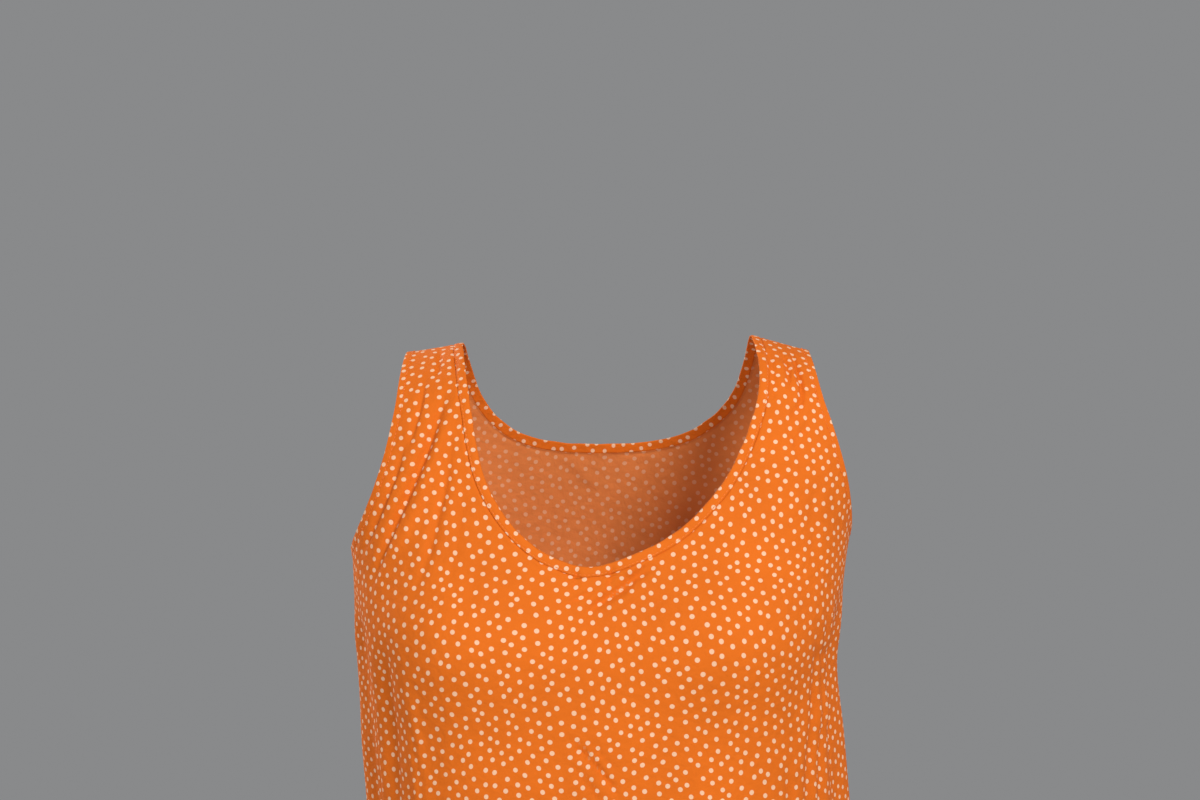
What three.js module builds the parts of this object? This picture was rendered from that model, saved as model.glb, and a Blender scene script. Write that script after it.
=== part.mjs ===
// Sleeveless scoop-neck dress, worn: a front panel, a back panel and a narrow band round the neck.
// Millimetres. +Z is up, the front faces -Y, and +X is the wearer's left. The origin is midway
// between the two strap tops, on the line of the shoulder seams, where shoulders hold the dress.

import * as THREE from 'three';

// ---- Sizes of the cloth and its seams

const wallThickness = 1.5;
const seamGap = 0.3;
const bandWidth = 6.5;
const bandRise = 0.4;
const bandThickness = 2.3;

// ---- Form of the worn dress
// Each row is one level of the dress, from the shoulder line down to the hem. half is half the
// breadth, middle is the x of its middle, side is the y of the side line, front and back are the y
// at the centre front and centre back, and flatFront and flatBack say how much flatter than an
// ellipse each half of the ring is.

const levels = [
  { z: 0, half: 196, middle: 0, side: 3, front: 3, back: 3, flatFront: 0.5, flatBack: 0.5 },
  { z: -8, half: 196, middle: 0, side: 3, front: -23, back: 27, flatFront: 0.5, flatBack: 0.5 },
  { z: -26, half: 195, middle: 0, side: 2, front: -48, back: 49, flatFront: 0.5, flatBack: 0.5 },
  { z: -52, half: 193, middle: 0, side: 1, front: -66, back: 65, flatFront: 0.5, flatBack: 0.5 },
  { z: -82, half: 189, middle: 0, side: 0, front: -79, back: 76, flatFront: 0.5, flatBack: 0.5 },
  { z: -114, half: 183, middle: 0, side: -2, front: -87, back: 84, flatFront: 0.5, flatBack: 0.5 },
  { z: -148, half: 176.5, middle: 0, side: -4, front: -95, back: 90, flatFront: 0.5, flatBack: 0.45 },
  { z: -182, half: 171.5, middle: -1, side: -4, front: -104, back: 91, flatFront: 0.35, flatBack: 0.4 },
  { z: -222, half: 164, middle: -2, side: -4, front: -112, back: 89, flatFront: 0.2, flatBack: 0.35 },
  { z: -280, half: 165.5, middle: 2, side: -4, front: -115, back: 82, flatFront: 0.18, flatBack: 0.3 },
  { z: -370, half: 167, middle: 8, side: -4, front: -117, back: 77, flatFront: 0.18, flatBack: 0.25 },
  { z: -460, half: 178, middle: 5, side: -3, front: -122, back: 86, flatFront: 0.15, flatBack: 0.2 },
  { z: -560, half: 196, middle: 2, side: -2, front: -130, back: 98, flatFront: 0.12, flatBack: 0.15 },
  { z: -730, half: 223, middle: 0, side: 0, front: -143, back: 114, flatFront: 0.1, flatBack: 0.1 },
  { z: -920, half: 251, middle: 0, side: 0, front: -155, back: 130, flatFront: 0.1, flatBack: 0.1 },
];

// The straps slope down to the shoulder tips, more steeply on the wearer's left, and level out
// by the underarm.

const strapMiddle = 125;
const shoulders = {
  right: { slope: 0.17, lift: -4 },
  left: { slope: 0.265, lift: 2 },
};
const slopeFadesAt = -20;
const slopeEndsAt = -130;

// The two sides' slopes change over between the straps, and meet in a round at the centre line.
const changeOver = 60;
const centreRound = 20;

// ---- Edges of the panels, as distance from the centre line and height
// The finished neck edge and the armholes differ a little from side to side, as worn.

const frontNeck = {
  right: [[99, 1], [94, -20], [89, -45], [84, -71], [78, -93], [69, -111], [57, -127],
    [42, -140], [26, -148.5], [12, -153], [0, -153]],
  left: [[109, 6], [111, -15], [109, -36], [103, -56], [95, -75], [84, -95], [70, -112],
    [54, -127], [37, -138], [20, -146], [9, -150.5], [0, -153]],
};
const backNeck = {
  right: [[99, 1], [96, -16], [90, -36], [78, -54], [59, -67], [32, -73.5], [0, -75]],
  left: [[109, 6], [107, -14], [100, -36], [85, -54], [63, -67], [34, -73.5], [0, -75]],
};
const frontArmhole = {
  right: [[138.5, -6], [140, -24], [142, -48], [147, -76], [154, -100], [162.5, -121],
    [169.5, -135], [174.5, -144.5], [176.5, -148]],
  left: [[150, -5], [152, -20], [156, -42], [162, -62], [168, -84], [173, -103],
    [176, -118], [178.5, -130.5], [179.5, -135]],
};
const backArmhole = {
  right: [[138.5, -6], [138, -28], [139, -54], [144, -82], [152, -106], [162, -127],
    [169.5, -139], [174.5, -145.5], [176.5, -148]],
  left: [[150, -5], [149, -24], [149, -48], [153, -74], [161, -98], [170, -117],
    [175, -127.5], [178.5, -133.5], [179.5, -135]],
};

// ---- Bust, largest folds and skirt flutes, all measured from the smooth form

// kept is the share of the bust's height that hangs on below it, until it ends at endsAt.
const bust = {
  apex: 92, z: -206, out: 20, across: 56, above: 52, below: 44, kept: 0.5, fadesAt: -330, endsAt: -560,
};

// A fold runs along a line from its top to its foot, given as distance to the wearer's left and
// height. reach is the half width, and depth is positive for a trough. Along that line it rises
// between the first two shares and dies away between the last two.
const foldRises = [-0.15, 0.3];
const foldDies = [0.7, 1.15];
const frontFolds = [
  { name: 'strap pull', top: [-105, -46], foot: [-152, -166], reach: 8, depth: 4 },
  { name: 'strap ridge', top: [-97, -54], foot: [-145, -176], reach: 8, depth: -2.5 },
  { name: 'second pull', top: [-102, -86], foot: [-121, -150], reach: 8, depth: 2 },
  { name: 'side bulge', top: [130, -262], foot: [172, -236], reach: 12, depth: -3 },
];
const backFolds = [
  { name: 'right blade pull', top: [-118, -60], foot: [-150, -170], reach: 11, depth: 3 },
  { name: 'left blade pull', top: [120, -66], foot: [156, -160], reach: 11, depth: 2.5 },
  { name: 'small of the back', top: [-60, -330], foot: [40, -352], reach: 14, depth: 3 },
];

// The side seams stand out a little, with a trough in front of and behind each of them.
const sideSeam = { out: 7.5, outReach: 9, troughAt: 24, troughReach: 11, depth: 5, from: -165, to: -215 };

// Flutes of the skirt. at is where each crest begins, in quarters of the way round the dress from
// the centre front towards the wearer's left, and drift is how far it has moved on by the hem. out
// is how far it stands out at the hem. Each has a shallower valley twice as wide.
const flutes = [
  { at: -1.86, drift: 0.03, reach: 0.14, out: 14, beginsAt: -420 },
  { at: -1.3, drift: 0.02, reach: 0.14, out: 16, beginsAt: -450 },
  { at: -0.78, drift: 0.03, reach: 0.13, out: 14, beginsAt: -440 },
  { at: -0.33, drift: -0.04, reach: 0.14, out: 17, beginsAt: -410 },
  { at: 0.18, drift: 0.03, reach: 0.13, out: 13, beginsAt: -460 },
  { at: 0.62, drift: -0.02, reach: 0.15, out: 17, beginsAt: -400 },
  { at: 1.22, drift: 0.03, reach: 0.12, out: 13, beginsAt: -470 },
  { at: 1.62, drift: -0.03, reach: 0.14, out: 17, beginsAt: -430 },
];
const fluteValley = 0.6;

// ---- Density of the faces, and fineness of the measuring

const columns = 13;
const neckRows = 18;
const armholeRows = 13;
const rowsInAll = 40;
const edgeSamples = 240;
const halvings = 50;
const turnStep = 0.002;
const runStep = 0.4;

// ---- Smooth curves through rows of numbers

function smoothCurve(knots, values) {
  const slopes = values.map((value, i) => {
    const before = Math.max(i - 1, 0);
    const after = Math.min(i + 1, values.length - 1);
    return (values[after] - values[before]) / (knots[after] - knots[before]);
  });
  return (place) => {
    let i = 0;
    while (i < knots.length - 2 && place > knots[i + 1]) i += 1;
    const gap = knots[i + 1] - knots[i];
    const s = (place - knots[i]) / gap;
    const rise = values[i + 1] - values[i];
    const bend = (slopes[i] * gap - rise) * (1 - s) - (slopes[i + 1] * gap - rise) * s;
    return values[i] + rise * s + bend * s * (1 - s);
  };
}

const mix = (a, b, share) => a + (b - a) * share;
const clamp01 = (value) => Math.min(Math.max(value, 0), 1);
const bell = (value) => Math.exp(-value * value);

function easeBetween(from, to, value) {
  const s = clamp01((value - from) / (to - from));
  return s * s * (3 - 2 * s);
}

// ---- The form as a surface
// A place on a panel is a turn from its centre line, in radians, with a quarter turn at the side
// seam, and a run down from the shoulder line, which is the same for the front and the back.

const runs = [0];
for (let i = 1; i < levels.length; i += 1) {
  const down = levels[i].z - levels[i - 1].z;
  const out = levels[i].front - levels[i - 1].front;
  runs.push(runs[i - 1] + Math.hypot(down, out));
}
const hemRun = runs[runs.length - 1];
const hemZ = levels[levels.length - 1].z;

// Above the shoulder line, each panel's curves go on into the other panel's first level, so the
// two meet smoothly there.
function panelCurves(near, far, flatNear, flatFar) {
  const knots = [-runs[1], ...runs];
  const first = levels[1];
  const mirrored = (column) => smoothCurve(knots, [first[column], ...levels.map((level) => level[column])]);
  const reaches = levels.map((level) => level[near] - level.side);
  const flats = levels.map((level) => level[flatNear]);
  return {
    z: mirrored('z'),
    half: mirrored('half'),
    middle: mirrored('middle'),
    side: mirrored('side'),
    reach: smoothCurve(knots, [first[far] - first.side, ...reaches]),
    flat: smoothCurve(knots, [first[flatFar], ...flats]),
  };
}

const panels = {
  front: {
    curves: panelCurves('front', 'back', 'flatFront', 'flatBack'),
    folds: frontFolds,
    outward: -1,
  },
  back: {
    curves: panelCurves('back', 'front', 'flatBack', 'flatFront'),
    folds: backFolds,
    outward: 1,
  },
};

function strapSlope(x, levelZ) {
  const fade = 1 - easeBetween(slopeFadesAt, slopeEndsAt, levelZ);
  const leftShare = easeBetween(-changeOver, changeOver, x);
  const slope = mix(shoulders.right.slope, shoulders.left.slope, leftShare);
  const lift = mix(shoulders.right.lift, shoulders.left.lift, leftShare);
  return fade * (lift + slope * (strapMiddle - Math.hypot(x, centreRound)));
}

function smoothForm(panel, turn, run) {
  const { z, half, middle, side, reach, flat } = panel.curves;
  const sine = Math.sin(turn);
  const x = middle(run) + half(run) * sine;
  const y = side(run) + reach(run) * Math.cos(turn) * (1 + flat(run) * sine * sine);
  return new THREE.Vector3(x, y, z(run) + strapSlope(x, z(run)));
}

function surfaceNormal(surface, panel, turn, run) {
  const across = surface(panel, turn + turnStep, run).sub(surface(panel, turn - turnStep, run));
  const down = surface(panel, turn, run + runStep).sub(surface(panel, turn, run - runStep));
  return across.cross(down).normalize().multiplyScalar(panel.outward);
}

// ---- Bust, folds and flutes as heights above the smooth form

function bustHeight(panel, x, z) {
  if (panel !== panels.front) return 0;
  const above = bell((z - bust.z) / bust.above);
  const below = mix(bust.kept, 1, bell((z - bust.z) / bust.below));
  const height = bust.out * (z > bust.z ? above : below) * (1 - easeBetween(bust.fadesAt, bust.endsAt, z));
  return height * (bell((x - bust.apex) / bust.across) + bell((x + bust.apex) / bust.across));
}

function foldHeight(fold, x, z) {
  const [topX, topZ] = fold.top;
  const alongX = fold.foot[0] - topX;
  const alongZ = fold.foot[1] - topZ;
  const length = Math.hypot(alongX, alongZ);
  const share = ((x - topX) * alongX + (z - topZ) * alongZ) / (length * length);
  const off = ((x - topX) * alongZ - (z - topZ) * alongX) / length;
  const fade = easeBetween(...foldRises, share) * (1 - easeBetween(...foldDies, share));
  return -fold.depth * fade * bell(off / fold.reach);
}

function sideSeamHeight(panel, turn, run, z) {
  const { reach, flat } = panel.curves;
  const fromSeam = (Math.PI / 2 - Math.abs(turn)) * Math.abs(reach(run)) * (1 + flat(run));
  const ridge = sideSeam.out * bell(fromSeam / sideSeam.outReach);
  const trough = sideSeam.depth * bell((fromSeam - sideSeam.troughAt) / sideSeam.troughReach);
  return (ridge - trough) * easeBetween(sideSeam.from, sideSeam.to, z);
}

// Both panels share the flutes, which run on round the side seams.
function fluteHeight(panel, turn, z) {
  const share = turn / (Math.PI / 2);
  const place = panel === panels.front ? share : (share < 0 ? -2 : 2) - share;
  let height = 0;
  for (const { at, drift, reach, out, beginsAt } of flutes) {
    const grown = easeBetween(beginsAt, hemZ, z);
    const ahead = place - at - drift * grown;
    const off = ahead - 4 * Math.round(ahead / 4);
    const crest = bell(off / reach) - fluteValley * bell(off / reach / 2);
    height += out * crest * grown;
  }
  return height;
}

function cloth(panel, turn, run) {
  const point = smoothForm(panel, turn, run);
  const { x, z } = point;
  let height = bustHeight(panel, x, z) + sideSeamHeight(panel, turn, run, z) + fluteHeight(panel, turn, z);
  for (const fold of panel.folds) height += foldHeight(fold, x, z);
  return point.addScaledVector(surfaceNormal(smoothForm, panel, turn, run), height);
}

// ---- Edges on that surface

function runAtHeight(panel, x, z) {
  let above = 0;
  let below = hemRun;
  for (let i = 0; i < halvings; i += 1) {
    const run = (above + below) / 2;
    const level = panel.curves.z(run);
    if (level + strapSlope(x, level) > z) above = run;
    else below = run;
  }
  return (above + below) / 2;
}

// Places along an edge, evenly spaced over the cloth, from the shoulder seam to its lower end.
function edgePlaces(panel, hand, table, count, endTurn) {
  const knots = table.map((point, i) => i);
  const outAt = smoothCurve(knots, table.map((point) => point[0]));
  const heightAt = smoothCurve(knots, table.map((point) => point[1]));
  const samples = [];
  for (let i = 0; i <= edgeSamples; i += 1) {
    const knot = (i / edgeSamples) * (table.length - 1);
    const x = hand * outAt(knot);
    const run = i === 0 ? 0 : runAtHeight(panel, x, heightAt(knot));
    const share = (x - panel.curves.middle(run)) / panel.curves.half(run);
    const turn = Math.asin(Math.max(-1, Math.min(1, share)));
    samples.push({ turn: i === edgeSamples ? endTurn : turn, run });
  }
  const lengths = [0];
  for (let i = 1; i <= edgeSamples; i += 1) {
    const from = smoothForm(panel, samples[i - 1].turn, samples[i - 1].run);
    const to = smoothForm(panel, samples[i].turn, samples[i].run);
    lengths.push(lengths[i - 1] + from.distanceTo(to));
  }
  const places = [];
  for (let i = 0, k = 1; i <= count; i += 1) {
    const wanted = (i / count) * lengths[edgeSamples];
    while (k < edgeSamples && lengths[k] < wanted) k += 1;
    const share = (wanted - lengths[k - 1]) / (lengths[k] - lengths[k - 1]);
    places.push({
      turn: mix(samples[k - 1].turn, samples[k].turn, share),
      run: mix(samples[k - 1].run, samples[k].run, share),
    });
  }
  return places;
}

// How many millimetres of cloth one radian of turn and one millimetre of run cover.
function stretchAt(panel, { turn, run }) {
  const across = smoothForm(panel, turn + turnStep, run).distanceTo(smoothForm(panel, turn - turnStep, run));
  const down = smoothForm(panel, turn, run + runStep).distanceTo(smoothForm(panel, turn, run - runStep));
  return { perTurn: across / (2 * turnStep), perRun: down / (2 * runStep) };
}

// An edge moved over the cloth by a distance, away from the centre of the neck. Its ends move
// along the shoulder seam and down the centre line.
function movedEdge(panel, hand, places, distance) {
  return places.map((place, i) => {
    const { perTurn, perRun } = stretchAt(panel, place);
    const before = places[Math.max(i - 1, 0)];
    const after = places[Math.min(i + 1, places.length - 1)];
    let across = (after.turn - before.turn) * perTurn;
    let down = (after.run - before.run) * perRun;
    if (i === 0) across = 0;
    if (i === places.length - 1) down = 0;
    const length = Math.hypot(across, down);
    return {
      turn: place.turn + (hand * Math.abs(down / length) * distance) / perTurn,
      run: place.run + (Math.abs(across / length) * distance) / perRun,
    };
  });
}

// ---- Walls from grids of places

function point(panel, place, height) {
  const normal = surfaceNormal(cloth, panel, place.turn, place.run);
  return cloth(panel, place.turn, place.run).addScaledVector(normal, height);
}

// A closed wall from cloth faces: each place gives an outer and an inner point, and every edge
// that only one face uses is closed with a strip.
function wall(places, faces, outerHeight, thickness) {
  const outer = places.map(({ panel, place }) => point(panel, place, outerHeight));
  const inner = places.map(({ panel, place }) => point(panel, place, outerHeight - thickness));
  const positions = [...outer, ...inner].flatMap(({ x, y, z }) => [x, y, z]);
  const below = (corner) => corner + outer.length;
  const indices = [];
  const edges = new Map();
  for (const [a, b, c] of faces) {
    indices.push(a, b, c, below(c), below(b), below(a));
    for (const [from, to] of [[a, b], [b, c], [c, a]]) {
      if (edges.has(`${to} ${from}`)) edges.delete(`${to} ${from}`);
      else edges.set(`${from} ${to}`, [from, to]);
    }
  }
  for (const [from, to] of edges.values()) {
    indices.push(to, from, below(from), to, below(from), below(to));
  }
  const geometry = new THREE.BufferGeometry();
  geometry.setAttribute('position', new THREE.Float32BufferAttribute(positions, 3));
  geometry.setIndex(indices);
  geometry.computeVertexNormals();
  return geometry;
}

// Two faces for each square of a grid of corner numbers. flip turns them round, so that they face
// out of the cloth.
function gridFaces(corners, flip) {
  const faces = [];
  for (let row = 0; row + 1 < corners.length; row += 1) {
    for (let column = 0; column + 1 < corners[row].length; column += 1) {
      const a = corners[row][column];
      const b = corners[row][column + 1];
      const c = corners[row + 1][column + 1];
      const d = corners[row + 1][column];
      faces.push(flip ? [a, b, c] : [a, c, b], flip ? [a, c, d] : [a, d, c]);
    }
  }
  return faces;
}

// ---- The pieces

const hands = { right: -1, left: 1 };

function neckEdges(panelName) {
  const panel = panels[panelName];
  const table = panelName === 'front' ? frontNeck : backNeck;
  const edges = {};
  for (const [name, hand] of Object.entries(hands)) {
    edges[name] = edgePlaces(panel, hand, table[name], neckRows, 0);
  }
  return edges;
}

// One half of a panel: its rows run from the armhole or side seam to the neck or centre line.
function halfPanelRows(panelName, handName) {
  const panel = panels[panelName];
  const hand = hands[handName];
  const armholeTable = (panelName === 'front' ? frontArmhole : backArmhole)[handName];
  const armhole = edgePlaces(panel, hand, armholeTable, armholeRows, (hand * Math.PI) / 2);
  const neck = movedEdge(panel, hand, neckEdges(panelName)[handName], bandWidth + seamGap);
  const underarm = armhole[armholeRows].run;
  const neckFoot = neck[neckRows].run;
  const rows = [];
  for (let i = 0; i <= rowsInAll; i += 1) {
    const sideRun = mix(underarm, hemRun, (i - armholeRows) / (rowsInAll - armholeRows));
    const centreRun = mix(neckFoot, hemRun, (i - neckRows) / (rowsInAll - neckRows));
    const outer = i <= armholeRows ? armhole[i] : { turn: (hand * Math.PI) / 2, run: sideRun };
    const inner = i <= neckRows ? neck[i] : { turn: 0, run: centreRun };
    rows.push({ outer, inner });
  }
  return rows.map(({ outer, inner }, i) => {
    const { perTurn } = stretchAt(panel, { turn: outer.turn, run: Math.max(outer.run, 1) });
    const atSide = i >= armholeRows ? (hand * seamGap) / 2 / perTurn : 0;
    const { perRun } = stretchAt(panel, { turn: outer.turn, run: 0 });
    const atShoulder = i === 0 ? seamGap / 2 / perRun : 0;
    return {
      outer: { turn: outer.turn - atSide, run: outer.run + atShoulder },
      inner: { turn: inner.turn, run: inner.run + atShoulder },
    };
  });
}

function panelWall(panelName) {
  const panel = panels[panelName];
  const places = [];
  const faces = [];
  const centre = [];
  for (const [handName, hand] of Object.entries(hands)) {
    const rows = halfPanelRows(panelName, handName);
    const corners = rows.map(({ outer, inner }, i) => {
      const row = [];
      for (let j = 0; j <= columns; j += 1) {
        if (j === columns && centre[i] !== undefined) {
          row.push(centre[i]);
          continue;
        }
        const share = j / columns;
        const place = { turn: mix(outer.turn, inner.turn, share), run: mix(outer.run, inner.run, share) };
        places.push({ panel, place });
        row.push(places.length - 1);
      }
      return row;
    });
    if (centre.length === 0) {
      corners.forEach((row, i) => {
        centre.push(i >= neckRows ? row[columns] : undefined);
      });
    }
    faces.push(...gridFaces(corners, hand * panel.outward < 0));
  }
  return wall(places, faces, 0, wallThickness);
}

// The band is one ring: down the right of the front, up its left, and back over the shoulders.
function neckBandWall() {
  const ring = [];
  const addEdge = (panelName, handName, upwards) => {
    const panel = panels[panelName];
    const hand = hands[handName];
    const inside = neckEdges(panelName)[handName];
    const outside = movedEdge(panel, hand, inside, bandWidth);
    const pairs = inside.map((place, i) => [{ panel, place }, { panel, place: outside[i] }]);
    if (upwards) pairs.reverse();
    ring.push(...pairs.slice(0, -1));
  };
  addEdge('front', 'right', false);
  addEdge('front', 'left', true);
  addEdge('back', 'left', false);
  addEdge('back', 'right', true);
  const places = ring.flat();
  const corners = [...ring, ring[0]].map((pair, i) => {
    const start = 2 * (i % ring.length);
    return [start, start + 1];
  });
  return wall(places, gridFaces(corners, true), bandRise, bandThickness);
}

const clothColour = '#f0813a';

function piece(name, geometry, colour) {
  const material = new THREE.MeshStandardMaterial({ color: colour, roughness: 0.85, metalness: 0 });
  const mesh = new THREE.Mesh(geometry, material);
  mesh.name = name;
  return mesh;
}

const dress = new THREE.Group();
dress.add(
  piece('front', panelWall('front'), clothColour),
  piece('back', panelWall('back'), clothColour),
  piece('neck_binding', neckBandWall(), clothColour),
);

export default dress;
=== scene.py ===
# Sleeveless scoop-neck dress of light orange cloth with scattered cream dots, in its worn form:
# a front panel, a back panel, a narrow band round the neck, and their stitching.
# Garment sizes below are in millimetres, and meshes are made in metres. +Z is up, the front faces
# -Y, and +X is the wearer's left.

import math

import bpy
import numpy as np
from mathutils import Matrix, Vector


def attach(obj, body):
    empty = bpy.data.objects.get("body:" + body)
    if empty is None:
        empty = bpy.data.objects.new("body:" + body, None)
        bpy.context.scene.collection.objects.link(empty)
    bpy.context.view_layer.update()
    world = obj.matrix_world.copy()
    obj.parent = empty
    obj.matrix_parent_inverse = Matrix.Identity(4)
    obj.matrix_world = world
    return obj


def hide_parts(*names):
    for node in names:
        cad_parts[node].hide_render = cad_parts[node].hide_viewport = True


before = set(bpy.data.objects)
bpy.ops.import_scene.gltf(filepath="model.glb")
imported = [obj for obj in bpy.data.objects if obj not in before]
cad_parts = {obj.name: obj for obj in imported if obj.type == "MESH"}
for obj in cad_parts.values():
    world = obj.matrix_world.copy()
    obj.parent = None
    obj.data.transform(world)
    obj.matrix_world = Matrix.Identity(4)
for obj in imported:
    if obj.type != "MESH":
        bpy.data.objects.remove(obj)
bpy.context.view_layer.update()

METRE = 0.001
QUARTER = math.pi / 2


# ---- Form of the worn dress ----
# One row for each level, from the shoulder line down to the hem: half the breadth, where its middle
# lies, how far forward or back the side seams and the two centre lines lie, and how much fuller than
# an ellipse each half of the section is.

LEVEL_COLUMNS = ("z", "half", "middle", "side", "front", "back", "flat_front", "flat_back")
LEVELS = (
    (0, 196, 0, 3, 3, 3, 0.5, 0.5),
    (-8, 196, 0, 3, -23, 27, 0.5, 0.5),
    (-26, 195, 0, 2, -48, 49, 0.5, 0.5),
    (-52, 193, 0, 1, -66, 65, 0.5, 0.5),
    (-82, 189, 0, 0, -79, 76, 0.5, 0.5),
    (-114, 183, 0, -2, -87, 84, 0.5, 0.5),
    (-148, 176.5, 0, -4, -95, 90, 0.5, 0.45),
    (-182, 171.5, -1, -4, -104, 91, 0.35, 0.4),
    (-222, 164, -2, -4, -112, 89, 0.2, 0.35),
    (-280, 165.5, 2, -4, -115, 82, 0.18, 0.3),
    (-370, 167, 8, -4, -117, 77, 0.18, 0.25),
    (-460, 178, 5, -3, -122, 86, 0.15, 0.2),
    (-560, 196, 2, -2, -130, 98, 0.12, 0.15),
    (-730, 223, 0, 0, -143, 114, 0.1, 0.1),
    (-920, 251, 0, 0, -155, 130, 0.1, 0.1),
)
LEVEL = {name: np.array([row[i] for row in LEVELS], float) for i, name in enumerate(LEVEL_COLUMNS)}
HEM_Z = LEVELS[-1][0]

# How steeply each strap slopes, and how far it sits above or below the shoulder line. The two
# sides' slopes change over between the straps, and meet in a round at the centre line.
STRAP_MIDDLE = 125
STRAP_SLOPE = {"right": 0.17, "left": 0.265}
STRAP_LIFT = {"right": -4, "left": 2}
SLOPE_FADES_AT = -20
SLOPE_ENDS_AT = -130
CHANGE_OVER = 60
CENTRE_ROUND = 20

# Finished edges, from the shoulder seam down, as distance from the centre line and height.
NECK = {
    "front": {
        "right": ((99, 1), (94, -20), (89, -45), (84, -71), (78, -93), (69, -111), (57, -127),
                  (42, -140), (26, -148), (12, -152), (0, -151.5)),
        "left": ((109, 6), (111, -15), (109, -36), (103, -56), (95, -75), (84, -95), (70, -112),
                 (54, -127), (37, -137.5), (20, -145), (9, -149), (0, -151.5)),
    },
    "back": {
        "right": ((99, 1), (96, -16), (90, -36), (78, -54), (59, -67), (32, -73.5), (0, -75)),
        "left": ((109, 6), (107, -14), (100, -36), (85, -54), (63, -67), (34, -73.5), (0, -75)),
    },
}
ARMHOLE = {
    "front": {
        "right": ((138.5, -6), (140, -24), (142, -48), (147, -76), (154, -100), (162.5, -121),
                  (169.5, -135), (174.5, -144.5), (176.5, -148)),
        "left": ((150, -5), (152, -20), (156, -42), (162, -62), (168, -84), (173, -103),
                 (176, -118), (178.5, -130.5), (179.5, -135)),
    },
    "back": {
        "right": ((138.5, -6), (138, -28), (139, -54), (144, -82), (152, -106), (162, -127),
                  (169.5, -139), (174.5, -145.5), (176.5, -148)),
        "left": ((150, -5), (149, -24), (149, -48), (153, -74), (161, -98), (170, -117),
                 (175, -127.5), (178.5, -133.5), (179.5, -135)),
    },
}
HAND = {"right": -1, "left": 1}

# Thickness of the cloth, and how far its edges round out, as a share of half of it.
CLOTH = 0.6
LIP = 0.8

# The neck band: its width, its thickness folded and of one layer, its crown and groove, its
# ripples and sway, and how it stands over the neck edge.
BAND_WIDTH = 6.5
BAND_FOLDED = 1.5
BAND_CLOTH = 0.45
BAND = {"columns": 11, "points": 181, "least": 0.1, "crown": 0.4, "groove": 0.22, "groove_reach": 0.55,
        "ripple": 0.3, "ripple_length": 6, "ripple_seed": 21, "sway": 0.35, "sway_length": 11,
        "sway_seed": 22, "proud": 0.45, "fold_out": 0.5, "fold_down": 0.35}

# Stitching: how far each row lies from its edge, the stitches' size, and how far they stand out.
STITCHED_ARMHOLE = 4.6
STITCHED_HEM = 14.5
STITCHED_BAND = 5.2
STITCH_PITCH = 2.9
STITCH_LENGTH = 2.2
STITCH_WIDTH = 0.55
LEAST_STITCH, LARGEST_STITCH = 0.86, 1.1
STITCH_LIFT = {"armhole": 0.2, "hem": 0.1}
LINE_POINTS = {"armhole": 121, "hem": 500}

# Edges turned in, which make the cloth double.
TURNED_EDGES = {
    # the two distances from the edge between which the turning ends, rise of the outside
    "armhole": (4.7, 5.9, 0.4),
    "hem": (15.2, 16.8, 0.35),
}
# Lines along which stitches and seams draw the cloth in, or puff it out at a negative depth.
DRAWN_LINES = (
    # edge, distance from it, depth, how much the depth puckers, half width
    ("armhole", STITCHED_ARMHOLE, 0.34, 0.2, 0.8),
    ("hem", STITCHED_HEM, 0.36, 0.25, 1.1),
    ("side", 0, 0.45, 0.3, 1.0),
    ("shoulder", 0, 0.45, 0.2, 1.0),
    ("neck", 0, 0.42, 0.3, 0.8),
    ("neck", 2.2, -0.25, -0.4, 1.3),
)
PUCKER = {"length": 7, "seed": 31}

BUST = {"apex": 92, "z": -206, "out": 21, "across": 56, "above": 52, "below": 42, "kept": 0.4,
        "fades_at": -240, "ends_at": -450}
SIDE_SEAM = {"out": 7.5, "out_reach": 15, "trough_at": 33, "reach": 13, "depth": 4.5,
             "from": -165, "to": -215, "kept": 0.4, "fades_at": -390, "ends_at": -640}

# Skirt flutes: where each crest is round the dress, in quarters from the centre front towards the
# wearer's left, how far it drifts by the hem, its reach, how far it stands out at the hem and the
# height where it begins.
FLUTES = (
    # at, drift, reach, out, begins at
    (-0.78, 0.03, 0.13, 23, -440),
    (-0.33, -0.04, 0.14, 27, -410),
    (-0.08, 0.05, 0.07, 10, -600),
    (0.18, 0.03, 0.13, 22, -460),
    (0.62, -0.02, 0.15, 27, -400),
    (0.93, 0.03, 0.08, 11, -620),
    (1.22, 0.03, 0.12, 23, -470),
    (1.62, -0.03, 0.14, 28, -430),
    (1.88, 0.02, 0.07, 10, -640),
    (-1.86, 0.03, 0.14, 25, -420),
    (-1.58, -0.02, 0.07, 10, -590),
    (-1.3, 0.02, 0.14, 27, -450),
    (-1.04, -0.02, 0.08, 10, -610),
)
FLUTE_VALLEY = 0.6

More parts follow.
